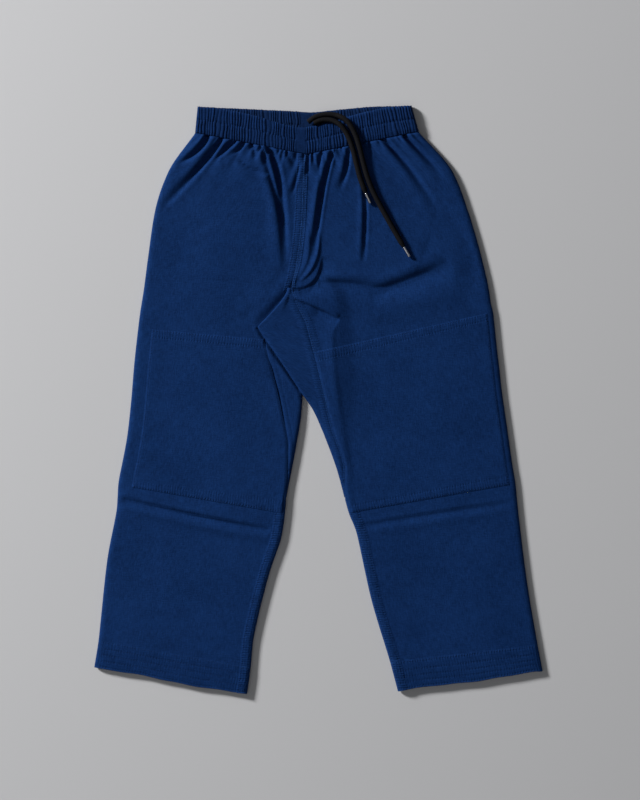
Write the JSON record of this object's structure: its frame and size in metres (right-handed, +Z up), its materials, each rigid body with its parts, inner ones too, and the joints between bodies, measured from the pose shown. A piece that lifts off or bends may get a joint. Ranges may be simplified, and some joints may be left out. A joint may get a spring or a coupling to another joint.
{
  "type": "jiu-jitsu gi trousers",
  "caption": "Child's drill gi trousers laid flat, front up: gathered elastic waistband with black drawcord, crotch gusset folded over one leg, knee patches and stitched turned-up hems.",
  "frame": {"origin": "centre of the underside of the trousers, on the surface they lie on", "axes": "+X to the wearer's left across the waist, +Y from the hems to the waist, +Z up from the surface, out of the front of the cloth"},
  "size_m": [0.5388, 0.7077, 0.0153],
  "materials": {
    "navy_drill": "matt cotton drill, navy blue, fine diagonal twill",
    "navy_band": "the same drill gathered on elastic, soft vertical ribs",
    "black_braid": "matt black round braided cord",
    "bright_metal": "bright rolled metal sleeve"
  },
  "bodies": {
    "root": {"front_panel_R": "navy_drill", "front_panel_L": "navy_drill", "back_panel_R": "navy_drill", "back_panel_L": "navy_drill", "gusset_R": "navy_drill", "gusset_L": "navy_drill", "knee_patch_R": "navy_drill", "knee_patch_L": "navy_drill", "hem_front_R": "navy_drill", "hem_front_L": "navy_drill", "hem_back_R": "navy_drill", "hem_back_L": "navy_drill", "waistband_front_R": "navy_band", "waistband_front_L": "navy_band", "waistband_back": "navy_band", "drawcord_long": "black_braid", "drawcord_short": "black_braid", "aglet_long": "bright_metal", "aglet_short": "bright_metal"}
  },
  "joints": []
}
